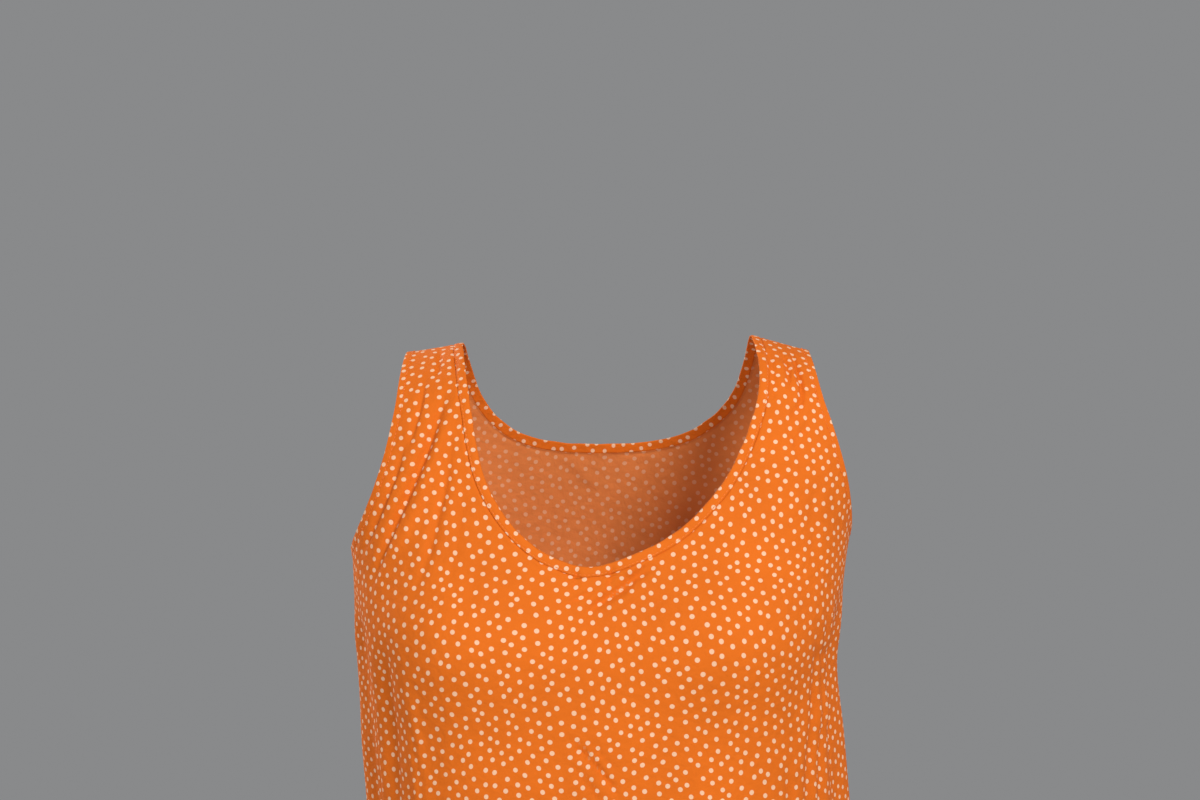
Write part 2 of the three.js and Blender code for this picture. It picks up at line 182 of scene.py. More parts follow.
# Creases of the cloth. Each has its route as (across, height) points, where across is measured
# over the cloth from the centre line towards the wearer's left, then its half width and depth.
# A positive depth is a trough and a negative one a ridge. Lean makes its one side the steeper.
FRONT_CREASES = {
    # name: route, half width, depth, lean
    "strap pull": (
        ((-107, -30), (-112, -50), (-119, -76), (-128, -99), (-139, -122), (-153, -150), (-163, -176)),
        3.3, 4, -0.22),
    "strap ridge": (
        ((-100, -34), (-105, -54), (-112, -80), (-120, -103), (-131, -127), (-146, -155)),
        3.8, -2, 0),
    "second pull": (((-100, -64), (-104, -96), (-109, -122), (-115, -152), (-122, -180)), 3, 2.1, -0.2),
    "second ridge": (((-94, -80), (-98, -104), (-103, -132), (-109, -160)), 3.4, -0.9, 0),
    "outer strap pull": (
        ((-134, -66), (-139, -88), (-149, -110), (-162, -132), (-175, -148)),
        2.7, 2.3, -0.2),
    "right strap top": (((-118, -4), (-116, -14), (-118, -26)), 2.2, 1.7, 0),
    "right strap inner top": (((-106, -6), (-104, -16), (-107, -26)), 2.2, 1.3, 0.2),
    "strap tuck": (((-124, -22), (-127, -50), (-133, -78)), 2.4, 1.7, -0.2),
    "strap tuck by the neck": (((-92, -96), (-94, -136), (-98, -166)), 2.8, 0.9, 0),
    "upper chest tuck": (((-76, -128), (-80, -157), (-84, -186)), 3.4, 0.8, 0),
    "left strap top": (((139, -2), (142, -18), (144, -34), (140, -50)), 2.3, 2.6, -0.2),
    "left strap knuckle": (((130, -6), (135, -18), (133, -34)), 2.2, 2.2, -0.2),
    "left strap inner top": (((121, -4), (123, -22), (119, -46)), 2.4, 1.8, -0.2),
    "left strap tuck": (((127, -52), (134, -68), (139, -90)), 2.6, 1.3, 0),
    "left strap crumple": (((146, -36), (137, -48), (129, -56)), 2.2, 2, 0.3),
    "left strap second crumple": (((149, -54), (141, -62), (133, -70)), 2.2, 1.7, 0.3),
    "left chest pull": (((150, -92), (146, -128), (150, -166)), 5, 1, 0),
    "neck pucker right": (((-16, -150), (-16, -160), (-18, -170)), 2.2, 2.3, 0),
    "neck pucker left": (((8, -149), (7, -160), (5, -169)), 2.1, 2.6, 0),
    "neck drag": (((40, -147), (26, -157), (13, -167), (1, -175), (-12, -185)), 2.9, 4.4, -0.15),
    "neck drag ridge": (((30, -164), (16, -174), (2, -184)), 3, -2, 0),
    "short neck drag": (((-2, -166), (-12, -171), (-25, -177)), 1.9, 2.3, 0.2),
    "faint neck drag": (((44, -168), (38, -176), (31, -185)), 2, 1.6, 0.2),
    "midriff crease": (((-24, -257), (-14, -268), (-6, -277), (4, -290), (12, -302)), 2, 3.5, -0.3),
    "upper midriff crease": (((-12, -260), (0, -273), (11, -286)), 1.9, 1.5, 0),
    "lower midriff crease": (((-21, -275), (-11, -290), (-1, -305)), 2, 2.3, -0.3),
    "right front valley": (
        ((-138, -196), (-144, -224), (-148, -250), (-152, -306), (-150, -372)),
        9, 4.4, 0),
    "right front ridge": (((-122, -222), (-125, -262), (-125, -312), (-121, -364)), 6, -2.8, 0.2),
    "right side pleat": (((-170, -188), (-176, -236), (-178, -300), (-172, -352)), 5, 2.4, 0),
    "right upright tuck": (((-125, -242), (-126, -270), (-124, -300), (-122, -326)), 2.8, 2.1, 0.2),
    "left upright tuck": (((124, -282), (124, -310), (121, -352)), 2.8, 2.2, 0.2),
    "left front pleat": (((149, -176), (151, -245), (143, -306), (140, -372)), 4.2, 2.7, 0),
    "left side pleat": (((157, -160), (165, -247), (157, -307), (150, -396)), 4.2, 2.7, 0),
    "left seam pleat": (((172, -150), (186, -222), (188, -268), (176, -372)), 5.4, 2, 0),
    "left side crease": (((146, -211), (162, -215), (178, -214), (196, -218)), 4.6, 1.4, 0.2),
    "left side bulge": (((142, -268), (160, -258), (184, -252), (204, -254)), 13, -2.4, 0.2),
    "waist drag right": (((-168, -356), (-140, -372), (-104, -378)), 7, 2.2, 0.3),
    "waist drag left": (((172, -346), (146, -366), (112, -372)), 7, 2, 0.3),
    "hip drape right": (((-60, -402), (-84, -452), (-98, -516)), 11, 2.4, 0),
    "hip drape left": (((46, -396), (66, -446), (74, -520)), 11, 2.2, 0),
}
BACK_CREASES = {
    # name: route, half width, depth, lean
    "right blade pull": (((-112, -56), (-124, -86), (-139, -122), (-160, -164)), 5.4, 2.6, 0.2),
    "right blade ridge": (((-104, -62), (-117, -92), (-131, -128), (-150, -168)), 5, -1.8, 0),
    "left blade pull": (((113, -58), (126, -92), (143, -126), (166, -166)), 5.4, 2.4, 0.2),
    "left blade ridge": (((106, -66), (118, -98), (134, -130), (154, -168)), 5, -1.6, 0),
    "left back tuck": (((94, -84), (98, -122), (106, -156)), 3.4, 1, 0),
    "neck drag": (((-24, -84), (-14, -98), (0, -110)), 3.8, 1.1, 0.3),
    "small of the back": (((-96, -306), (-40, -330), (10, -337), (46, -330)), 10, 2.2, 0.3),
    "lower small of the back": (((-34, -356), (14, -366), (66, -356), (104, -338)), 9, 1.9, 0.3),
    "right back drape": (((-88, -196), (-112, -272), (-106, -372)), 10, 3, 0.1),
    "left back drape": (((80, -204), (106, -282), (112, -384)), 10, 2.8, 0.1),
    "right seat drape": (((-36, -392), (-58, -446), (-66, -520)), 12, 2.6, 0),
    "left seat drape": (((58, -398), (84, -452), (96, -536)), 12, 2.6, 0),
    "right side pleat": (((-168, -196), (-172, -252), (-164, -318)), 5, 2.2, 0),
    "left side pleat": (((170, -190), (175, -246), (168, -312)), 5, 2, 0),
    "right waist drag": (((-170, -350), (-138, -362), (-96, -360)), 6, 2, 0.3),
    "left waist drag": (((172, -344), (142, -358), (104, -356)), 6, 2, 0.3),
}

CREASES = {"front": FRONT_CREASES, "back": BACK_CREASES}
# Where a crease grows and dies away, as shares of its route, its cross-section, a bell with a
# wider and shallower one of the other sign under it, and how many half widths away it counts.
CREASE_GROWS = (-0.05, 0.35)
CREASE_DIES = (0.65, 1.05)
CREASE_BELL = 1.12
CREASE_BANK = 0.24
BANK_REACH = 2.4
CREASE_ENDS = 4
PATH_STEPS = 14

# Uneven lie of the cloth, and how much the troughs beside the side seams wander.
RUMPLES = (
    # height, breadth, length, moved across, moved down, seed of each panel
    (1.7, 44, 95, 9, 5, {"front": 11, "back": 12}),
    (0.4, 15, 27, 3, 8, {"front": 13, "back": 14}),
)
SEAM_WANDER = {"length": 90, "place": 0.35, "depth": 0.5, "moved_down": 7, "moved_across": 20.5,
               "apart": 3.5, "seed": {"front": 15, "back": 16}}

# How far from a seam the folds of each panel die away, so that its two panels meet.
CALM_AT_SIDE = 16
CALM_AT_SHOULDER = 12

# Steps and counts of the measuring.
FORM_STEP_TURN = 0.002
FORM_STEP_RUN = 0.4
EDGE_SAMPLES = 400
HALVINGS = 50
ARC_SAMPLES = 25
DROP_SAMPLES = 61


# ---- Smooth curves and shapes of numbers ----

def smooth_curve(knots, values):
    knots = np.asarray(knots, float)
    values = np.asarray(values, float)
    slopes = np.empty_like(values)
    slopes[1:-1] = (values[2:] - values[:-2]) / (knots[2:] - knots[:-2])
    slopes[0] = (values[1] - values[0]) / (knots[1] - knots[0])
    slopes[-1] = (values[-1] - values[-2]) / (knots[-1] - knots[-2])

    def at(place):
        i = np.clip(np.searchsorted(knots, place) - 1, 0, len(knots) - 2)
        gap = knots[i + 1] - knots[i]
        s = (place - knots[i]) / gap
        rise = values[i + 1] - values[i]
        bend = (slopes[i] * gap - rise) * (1 - s) - (slopes[i + 1] * gap - rise) * s
        return values[i] + rise * s + bend * s * (1 - s)

    return at


def mix(a, b, share):
    return a + (b - a) * share


def bell(value):
    return np.exp(-value * value)


def ease(start, end, value):
    s = np.clip((value - start) / (end - start), 0, 1)
    return s * s * (3 - 2 * s)


def length_of(vectors):
    return np.linalg.norm(vectors, axis=-1)


def unit(vectors):
    return vectors / np.maximum(length_of(vectors), 1e-9)[..., None]


# ---- The form as a surface ----
# A place on a panel is a turn from its centre line, a quarter turn at the side seam, and a run
# down from the shoulder line.

RUNS = np.concatenate(([0], np.cumsum(np.hypot(np.diff(LEVEL["z"]), np.diff(LEVEL["front"])))))
HEM_RUN = RUNS[-1]


def panel_curves(near, far):
    knots = np.concatenate(([-RUNS[1]], RUNS))

    def down(values, beyond):
        """A curve down the panel, from a first value beyond the shoulder, on the other panel."""
        return smooth_curve(knots, np.concatenate(([beyond], values)))

    curves = {name: down(LEVEL[name], LEVEL[name][1]) for name in ("z", "half", "middle", "side")}
    curves["flat"] = down(LEVEL[f"flat_{near}"], LEVEL[f"flat_{far}"][1])
    curves["reach"] = down(LEVEL[near] - LEVEL["side"], LEVEL[far][1] - LEVEL["side"][1])
    return curves


CURVES = {"front": panel_curves("front", "back"), "back": panel_curves("back", "front")}
OUTWARD = {"front": -1, "back": 1}


def strap_slope(x, level_z):
    fade = 1 - ease(SLOPE_FADES_AT, SLOPE_ENDS_AT, level_z)
    left_share = ease(-CHANGE_OVER, CHANGE_OVER, x)
    slope = mix(STRAP_SLOPE["right"], STRAP_SLOPE["left"], left_share)
    lift = mix(STRAP_LIFT["right"], STRAP_LIFT["left"], left_share)
    return fade * (lift + slope * (STRAP_MIDDLE - np.hypot(x, CENTRE_ROUND)))


def smooth_form(panel, turn, run):
    curve = CURVES[panel]
    turn, run = np.broadcast_arrays(np.asarray(turn, float), np.asarray(run, float))
    sine = np.sin(turn)
    x = curve["middle"](run) + curve["half"](run) * sine
    y = curve["side"](run) + curve["reach"](run) * np.cos(turn) * (1 + curve["flat"](run) * sine * sine)
    level_z = curve["z"](run)
    return np.stack((x, y, level_z + strap_slope(x, level_z)), axis=-1)


def form_steps(panel, turn, run):
    ahead, behind = turn + FORM_STEP_TURN, turn - FORM_STEP_TURN
    across = smooth_form(panel, ahead, run) - smooth_form(panel, behind, run)
    down = smooth_form(panel, turn, run + FORM_STEP_RUN) - smooth_form(panel, turn, run - FORM_STEP_RUN)
    return across, down


def form_normal(panel, turn, run):
    return unit(np.cross(*form_steps(panel, turn, run))) * OUTWARD[panel]


def stretch(panel, turn, run):
    """Millimetres over the form for each unit of turn and of run."""
    across, down = form_steps(panel, turn, run)
    return length_of(across) / (2 * FORM_STEP_TURN), length_of(down) / (2 * FORM_STEP_RUN)


def cut_place(panel, turn, run):
    """Where a place lies on the flat cut: across from the centre line, and down from the shoulder."""
    shares = np.linspace(0, 1, ARC_SAMPLES)
    arc = smooth_form(panel, turn[..., None] * shares, run[..., None])
    across = np.sign(turn) * length_of(np.diff(arc, axis=-2)).sum(axis=-1)
    drop = smooth_form(panel, turn[..., None], run[..., None] * np.linspace(0, 1, DROP_SAMPLES))
    return across, length_of(np.diff(drop, axis=-2)).sum(axis=-1)


# ---- Edges on the form ----

def run_at_height(panel, x, z):
    above = np.zeros_like(x)
    below = np.full_like(x, HEM_RUN)
    for _ in range(HALVINGS):
        run = (above + below) / 2
        level_z = CURVES[panel]["z"](run)
        higher = level_z + strap_slope(x, level_z) > z
        above = np.where(higher, run, above)
        below = np.where(higher, below, run)
    return (above + below) / 2


def edge_places(panel, hand, table, shares, end_turn):
    """Places at these shares of the way along an edge, from the shoulder seam to its lower end."""
    knots = np.arange(len(table))
    fine = np.linspace(0, len(table) - 1, EDGE_SAMPLES)
    x = hand * smooth_curve(knots, [row[0] for row in table])(fine)
    run = run_at_height(panel, x, smooth_curve(knots, [row[1] for row in table])(fine))
    run[0] = 0
    curve = CURVES[panel]
    turn = np.arcsin(np.clip((x - curve["middle"](run)) / curve["half"](run), -1, 1))
    turn[-1] = end_turn
    walked = length_of(np.diff(smooth_form(panel, turn, run), axis=0))
    walked = np.concatenate(([0], np.cumsum(walked)))
    wanted = np.asarray(shares) * walked[-1]
    return np.interp(wanted, walked, turn), np.interp(wanted, walked, run)


def moved_edge(panel, hand, places, distance):
    """The edge moved over the cloth and down. hand is the side that its upright parts move to."""
    turn, run = places
    per_turn, per_run = stretch(panel, turn, run)
    across = np.gradient(turn) * per_turn
    down = np.gradient(run) * per_run
    across[0] = 0
    down[-1] = 0
    length = np.hypot(across, down)
    return (turn + hand * np.abs(down / length) * distance / per_turn,
            run + np.abs(across / length) * distance / per_run)


# ---- Heights above the smooth form ----

def bust_height(panel, x, z):
    if panel == "back":
        return np.zeros_like(x)
    above = bell((z - BUST["z"]) / BUST["above"])
    below = mix(BUST["kept"], 1, bell((z - BUST["z"]) / BUST["below"]))
    fade = 1 - ease(BUST["fades_at"], BUST["ends_at"], z)
    height = BUST["out"] * np.where(z > BUST["z"], above, below) * fade
    left, right = (bell((x - hand * BUST["apex"]) / BUST["across"]) for hand in (1, -1))
    return height * (left + right)


def side_seam_height(panel, turn, run, z):
    curve = CURVES[panel]
    from_seam = (QUARTER - np.abs(turn)) * np.abs(curve["reach"](run)) * (1 + curve["flat"](run))
    ridge = SIDE_SEAM["out"] * bell(from_seam / SIDE_SEAM["out_reach"])
    wander = rumple(SEAM_WANDER["seed"][panel])(
        z / SEAM_WANDER["length"] + SEAM_WANDER["moved_down"],
        np.sign(turn) * SEAM_WANDER["apart"] + SEAM_WANDER["moved_across"],
    )
    trough_at = SIDE_SEAM["trough_at"] * (1 + SEAM_WANDER["place"] * wander)
    depth = SIDE_SEAM["depth"] * (1 - SEAM_WANDER["depth"] * wander)
    trough = depth * bell((from_seam - trough_at) / SIDE_SEAM["reach"])
    standing = ease(SIDE_SEAM["from"], SIDE_SEAM["to"], z)
    kept = mix(1, SIDE_SEAM["kept"], ease(SIDE_SEAM["fades_at"], SIDE_SEAM["ends_at"], z))
    return (ridge - trough) * standing * kept


def flute_height(panel, turn, z):
    """Both panels share these folds, which run on round the side seams."""
    ring = turn / QUARTER
    if panel == "back":
        ring = np.where(turn >= 0, 2 - ring, -2 - ring)
    height = np.zeros_like(z)
    for at, drift, reach, out, begins_at in FLUTES:
        grown = ease(begins_at, HEM_Z, z)
        off = (ring - at - drift * grown + 2) % 4 - 2
        crest = bell(off / reach) - FLUTE_VALLEY * bell(off / reach / 2)
        height += out * crest * grown
    return height


def crease_height(crease, across, z):
    route, reach, depth, lean = crease
    route = np.array(route, float)
    knots = np.arange(len(route))
    fine = np.linspace(0, len(route) - 1, PATH_STEPS * (len(route) - 1) + 1)
    path = np.stack([smooth_curve(knots, route[:, i])(fine) for i in (0, 1)], axis=-1)
    low = path.min(axis=0) - CREASE_ENDS * reach
    high = path.max(axis=0) + CREASE_ENDS * reach
    height = np.zeros_like(z)
    near = np.nonzero((across > low[0]) & (across < high[0]) & (z > low[1]) & (z < high[1]))
    spot = np.stack((across[near], z[near]), axis=-1)
    starts, steps = path[:-1], np.diff(path, axis=0)
    best = np.full(len(spot), np.inf)
    side = np.zeros(len(spot))
    share = np.zeros(len(spot))
    for i, (start, step) in enumerate(zip(starts, steps)):
        along = (spot - start) @ step / (step @ step)
        clipped = np.clip(along, 0, 1)
        gap = spot - start - clipped[:, None] * step
        distance = length_of(gap)
        closer = distance < best
        best = np.where(closer, distance, best)
        side = np.where(closer, np.sign(gap[:, 0] * step[1] - gap[:, 1] * step[0]), side)
        beyond = np.where((i == 0) | (i == len(starts) - 1), along, clipped)
        share = np.where(closer, (i + beyond) / len(starts), share)
    fade = ease(*CREASE_GROWS, share) * (1 - ease(*CREASE_DIES, share))
    offset = best * side
    skewed = offset / reach * (1 + lean * np.sign(offset))
    section = CREASE_BELL * bell(skewed) - CREASE_BANK * bell(skewed / BANK_REACH)
    height[near] = -depth * fade * section
    return height


# ---- Uneven lie of real cloth ----

RUMPLE_CELLS = 64
RUMPLE_GAIN = 1.4


def rumple(seed):
    """Smooth noise over a plane, from about -1 to 1, the same on each run."""
    rng = np.random.default_rng(seed)
    angles = rng.uniform(0, 2 * math.pi, (RUMPLE_CELLS, RUMPLE_CELLS))
    slopes = np.stack((np.cos(angles), np.sin(angles)), axis=-1)

    def at(u, v):
        iu, iv = np.floor(u).astype(int), np.floor(v).astype(int)
        fu, fv = u - iu, v - iv
        eased_u, eased_v = ease(0, 1, fu), ease(0, 1, fv)
        total = 0
        for du, wu in ((0, 1 - eased_u), (1, eased_u)):
            for dv, wv in ((0, 1 - eased_v), (1, eased_v)):
                slope = slopes[(iu + du) % RUMPLE_CELLS, (iv + dv) % RUMPLE_CELLS]
                dot = slope[..., 0] * (fu - du) + slope[..., 1] * (fv - dv)
                total = total + dot * wu * wv
        return total * RUMPLE_GAIN

    return at


# ---- Grids of places over each panel ----

ALL_ROWS = 241
NECK_ROWS = {"front": 78, "back": 42}
ARMHOLE_ROWS = 58
FIRST_GAP = 2.1
# How far the rows near the underarm dip as they leave it, how soon, as a share of a row, and how
# many rows above and below the underarm dip.
UNDERARM_DIP = 13
DIP_WITHIN = 0.06
DIP_ABOVE = 36
DIP_BELOW = 60
# Distances of the close columns and rows from the outer edge, the inner edge and the hem.
EDGE_COLUMNS = (0, 0.5, 1.3, 2.4, 3.6, 4.6, 5.4, 6.2, 7.2, 8.6)
CENTRE_COLUMNS = (8.6, 6.6, 5.0, 3.8, 2.8, 2.0, 1.3, 0.6, 0)
MIDDLE_COLUMNS = 78
HEM_ROWS = (28, 24, 20.5, 18, 16.8, 15.6, 14.2, 12, 9, 6, 3.4, 1.6, 0.6, 0)
ROUGH_COLUMNS = 24
# Flattening the cloth: how often each triangle is turned to suit, and the steps that place them
# each time. No side of a triangle counts for less than the least weight.
TURNING_ROUNDS = 12
PLACING_ROUNDS = 60
LEAST_WEIGHT = 0.01


def column_shares(row_length):
    """Where the columns cross each row: close together at its two ends."""
    first = np.array(EDGE_COLUMNS)[None, :] / row_length[:, None]
    last = 1 - np.array(CENTRE_COLUMNS)[None, :] / row_length[:, None]
    between = np.linspace(0, 1, MIDDLE_COLUMNS + 2)[1:-1]
    middle = first[:, -1:] + (last[:, :1] - first[:, -1:]) * between[None, :]
    return np.concatenate((first, middle, last), axis=1)


def body_runs(panel, start_run, rows, turn):
    """Runs from a start down to the hem, opening out below the bust and closing up at the hem."""
    _, per_run = stretch(panel, turn, HEM_RUN)
    hem_runs = HEM_RUN - np.array(HEM_ROWS) / per_run
    count = rows - len(hem_runs)
    steady = FIRST_GAP * count / (hem_runs[0] - start_run)
    share = np.arange(1, count + 1) / count
    opened = mix(share * share, share, steady)
    return np.concatenate((mix(start_run, hem_runs[0], opened[:-1]), hem_runs))


def half_grid(panel, hand_name):
    hand = HAND[hand_name]
    side_turn = hand * QUARTER
    neck_rows = NECK_ROWS[panel]
    neck_shares = np.linspace(0, 1, neck_rows + 1)
    neck = edge_places(panel, hand, NECK[panel][hand_name], neck_shares, 0)
    neck_turn, neck_run = moved_edge(panel, hand, neck, BAND_WIDTH)
    arm_shares = np.linspace(0, 1, ARMHOLE_ROWS + 1)
    arm_turn, arm_run = edge_places(panel, hand, ARMHOLE[panel][hand_name], arm_shares, side_turn)
    centre_run = body_runs(panel, neck_run[-1], ALL_ROWS - neck_rows, 0.0)
    side_run = body_runs(panel, arm_run[-1], ALL_ROWS - ARMHOLE_ROWS, side_turn)
    outer_run = np.concatenate((arm_run, side_run))
    inner_run = np.concatenate((neck_run, centre_run))
    outer_turn = np.concatenate((arm_turn, np.full(len(side_run), side_turn)))
    inner_turn = np.concatenate((neck_turn, np.zeros(len(centre_run))))

    def between(shares):
        return (mix(outer_turn[:, None], inner_turn[:, None], shares),
                mix(outer_run[:, None], inner_run[:, None], shares))

    rough = smooth_form(panel, *between(np.linspace(0, 1, ROUGH_COLUMNS)[None, :]))
    shares = column_shares(length_of(np.diff(rough, axis=1)).sum(axis=1))
    turn, run = between(shares)
    dipping = (ARMHOLE_ROWS - DIP_ABOVE, ARMHOLE_ROWS, ARMHOLE_ROWS + DIP_BELOW)
    dip = np.interp(np.arange(len(outer_run)), dipping, (0, 1, 0))
    sag = (1 - np.exp(-shares / DIP_WITHIN)) * (1 - shares)
    return turn, run + UNDERARM_DIP * dip[:, None] * sag


def distance_to(points, path):
    """The shortest distance from each point to a line of points."""
    nearest = np.full(len(points), np.inf)
    for start, end in zip(path[:-1], path[1:]):
        step = end - start
        along = np.clip((points - start) @ step / max(step @ step, 1e-12), 0, 1)
        gap = points - start - along[:, None] * step
        nearest = np.minimum(nearest, np.einsum("ij,ij->i", gap, gap))
    return np.sqrt(nearest)


def build_panel(panel):
    """The places, faces and finished edges of a whole panel, its right half first."""
    turns, runs, quads = [], [], []
    edges = {"neck": [], "armhole": [], "hem": []}
    neck_rows = NECK_ROWS[panel]
    offset = 0
    centre = None
    for hand_name, hand in HAND.items():
        turn, run = half_grid(panel, hand_name)
        number = np.arange(turn.size).reshape(turn.shape) + offset
        if centre is None:
            centre = number[neck_rows:, -1]
        number[neck_rows:, -1] = centre
        corners = (number[:-1, :-1], number[:-1, 1:], number[1:, 1:], number[1:, :-1])
        faces = np.stack(corners, axis=-1).reshape(-1, 4)
        if hand * OUTWARD[panel] > 0:
            faces = faces[:, ::-1]
        quads.append(faces)
        turns.append(turn.ravel())
        runs.append(run.ravel())
        edges["neck"].append(number[:neck_rows + 1, -1])
        edges["armhole"].append(number[:ARMHOLE_ROWS + 1, 0])
        edges["hem"].append(number[-1])
        offset += turn.size
    turn, run = np.concatenate(turns), np.concatenate(runs)
    quads = np.concatenate(quads)
    used, renumbered = np.unique(quads, return_inverse=True)
    new_number = np.full(offset, -1)
    new_number[used] = np.arange(len(used))
    edges = {name: [new_number[line] for line in lines] for name, lines in edges.items()}
    return turn[used], run[used], renumbered.reshape(-1, 4), edges


def fold_heights(panel, turn, run, base, across, down, from_side):
    x, z = base[:, 0], base[:, 2]
    own = bust_height(panel, x, z)
    for crease in CREASES[panel].values():
        own += crease_height(crease, across, z)
    for rise, breadth, length, moved_across, moved_down, seed in RUMPLES:
        own += rise * rumple(seed[panel])(across / breadth + moved_across, down / length + moved_down)
    own *= ease(0, CALM_AT_SIDE, from_side) * ease(0, CALM_AT_SHOULDER, run)
    return own + side_seam_height(panel, turn, run, z) + flute_height(panel, turn, z)


def side_line(panel, hand):
    run = np.linspace(0, HEM_RUN, EDGE_SAMPLES)
    return smooth_form(panel, np.full_like(run, hand * QUARTER), run)


def cloth_places(panel, turn, run):
    """The smooth form, its normals, the cloth's height over it and each place on the flat cut."""
    base = smooth_form(panel, turn, run)
    across, down = cut_place(panel, turn, run)
    from_side = np.minimum(*(distance_to(base, side_line(panel, hand)) for hand in HAND.values()))
    height = fold_heights(panel, turn, run, base, across, down, from_side)
    return base, form_normal(panel, turn, run), height, across, down, from_side


def on_cloth(panel, turn, run, lift=0):
    """Points on the outer face of the cloth, or a little above it."""
    base, normal, height, *_ = cloth_places(panel, turn, run)
    return base + normal * (height + lift)[:, None]


def flatten(points, guess, triangles):
    """Flat places in which each triangle of the folded cloth keeps its shape as nearly as it can."""
    count = len(points)
    corner, placed = points[triangles], guess[triangles]
    first, third = corner[:, 1] - corner[:, 0], corner[:, 2] - corner[:, 0]
    along = np.einsum("ij,ij->i", third, unit(first))
    aside = length_of(third - along[:, None] * unit(first))
    own_way = ((placed[:, 1] - placed[:, 0]) * np.conj(placed[:, 2] - placed[:, 0])).imag
    third_place = along - 1j * np.sign(own_way) * aside
    shape = np.stack((np.zeros(len(first)), length_of(first), third_place), axis=-1)
    way = np.roll(shape, -1, axis=1) - shape
    facing = -np.roll(way, -1, axis=1) * np.conj(np.roll(way, -2, axis=1))
    weight = np.maximum(0.5 * facing.real / np.maximum(np.abs(facing.imag), 1e-9), LEAST_WEIGHT)
    start, end = triangles.ravel(), np.roll(triangles, -1, axis=1).ravel()

    def gathered(values):
        real, turned = (np.bincount(end, part, count) - np.bincount(start, part, count)
                        for part in (values.real, values.imag))
        return real + 1j * turned

    def pulled(place):
        return gathered(weight.ravel() * (place[end] - place[start]))

    total = np.bincount(start, weight.ravel(), count) + np.bincount(end, weight.ravel(), count)
    place = guess.copy()
    for _ in range(TURNING_ROUNDS):
        now = place[np.roll(triangles, -1, axis=1)] - place[triangles]
        turned = (weight * now * np.conj(way)).sum(axis=1)
        turned /= np.maximum(np.abs(turned), 1e-12)
        left = gathered((weight * way * turned[:, None]).ravel()) - pulled(place)
        heading = left / total
        power = (left * np.conj(left)).real @ (1 / total)
        for _ in range(PLACING_ROUNDS):
            pull = pulled(heading)
            stride = power / max((pull * np.conj(heading)).real.sum(), 1e-12)
            place += stride * heading
            left -= stride * pull
            last, power = power, (left * np.conj(left)).real @ (1 / total)
            heading = left / total + power / last * heading
    return place


# ---- Meshes ----

def add_object(name, data):
    thing = bpy.data.objects.new(name, data)
    bpy.context.collection.objects.link(thing)
    return thing


def add_cloth(name, points, faces, cut, materials, slots):
    """A piece of cloth, with its corners' places on the flat cut as its UV map."""
    mesh = bpy.data.meshes.new(name)
    mesh.from_pydata((points * METRE).tolist(), [], faces.tolist())
    mesh.uv_layers.new(name="cut").data.foreach_set("uv", (cut * METRE).ravel())
    for material in materials:
        mesh.materials.append(material)
    mesh.polygons.foreach_set("material_index", slots)
    mesh.polygons.foreach_set("use_smooth", np.ones(len(faces), bool))
    mesh.update()
    return add_object(name, mesh)


def face_normals(points, quads):
    """The normal of each face, twice as long as the face's area."""
    corner = points[quads]
    return np.cross(corner[:, 2] - corner[:, 0], corner[:, 3] - corner[:, 1])


def shell(name, points, quads, thickness, cut, materials):
    """A thin closed shell from the outer face of the cloth: an inner face, and rounded edges."""
    count = len(points)
    face_normal = face_normals(points, quads)
    normal = np.zeros_like(points)
    for i in range(4):
        np.add.at(normal, quads[:, i], face_normal)
    normal = unit(normal)
    sides = np.concatenate([quads[:, [i, (i + 1) % 4]] for i in range(4)])
    _, first, seen = np.unique(np.sort(sides, axis=1), axis=0, return_index=True, return_counts=True)
    start, end = sides[first[seen == 1]].T
    rim = np.unique((start, end))
    lip = np.full(count, -1)
    lip[rim] = 2 * count + np.arange(len(rim))
    outward = np.zeros_like(points)
    for ends in (start, end):
        np.add.at(outward, ends, np.cross(points[end] - points[start], normal[start]))
    outward = unit(outward)[rim]
    half = thickness[rim, None] / 2
    inner = points - normal * thickness[:, None]
    lips = points[rim] - normal[rim] * half + outward * half * LIP
    faces = np.concatenate((
        quads,
        quads[:, ::-1] + count,
        np.stack((end, start, lip[start], lip[end]), axis=-1),
        np.stack((lip[end], lip[start], start + count, end + count), axis=-1),
    ))
    slots = np.zeros(len(faces), int)
    slots[len(quads):2 * len(quads)] = len(materials) - 1
    points = np.concatenate((points, inner, lips))
    return add_cloth(name, points, faces, np.concatenate((cut, cut, cut[rim]))[faces], materials, slots)


# ---- Materials ----

ORANGE = (0.74, 0.152, 0.0105, 1)
CREAM = (0.86, 0.525, 0.33, 1)
PALE_ORANGE = (0.7, 0.21, 0.055, 1)
PALE_CREAM = (0.76, 0.44, 0.27, 1)
# Sewing thread colours mixed along its twist: the darker one is painted shade in the twist's grooves,
# and the lighter one is painted light on its crests.
THREAD_IN_PAINTED_GROOVE_SHADE = (0.74, 0.14, 0.012, 1)
THREAD_WITH_PAINTED_CREST_LIGHT = (0.95, 0.24, 0.03, 1)

# How each cloth's print is turned and shifted on its cut.
PRINT_TURN = 0.4
BIAS_TURN = 0.8
BIAS_SHIFT = (0.013, 0.027, 0)
# How far the dots drift, how high the weave stands beside its slubs, and how unevenly it is dyed.
DOT_DRIFT = 0.004
THREAD_RELIEF = 0.3
LEAST_DYED, MOST_DYED = 0.9, 1.1


def set_inputs(tree, node, inputs):
    """Set each input of a node to a value, or link it from another node's output."""
    for name, value in inputs.items():
        if isinstance(value, bpy.types.NodeSocket):
            tree.links.new(value, node.inputs[name])
        else:
            node.inputs[name].default_value = value
    return node


def new_node(tree, kind, inputs=None, **settings):
    node = tree.nodes.new(kind)
    for name, value in settings.items():
        setattr(node, name, value)
    return set_inputs(tree, node, inputs or {})


def maths(tree, operation, *values):
    return new_node(tree, "ShaderNodeMath", dict(enumerate(values)), operation=operation).outputs[0]


def noise(tree, place, scale, **inputs):
    inputs = {"Vector": place, "Scale": scale, **inputs}
    return new_node(tree, "ShaderNodeTexNoise", inputs, noise_dimensions="2D").outputs


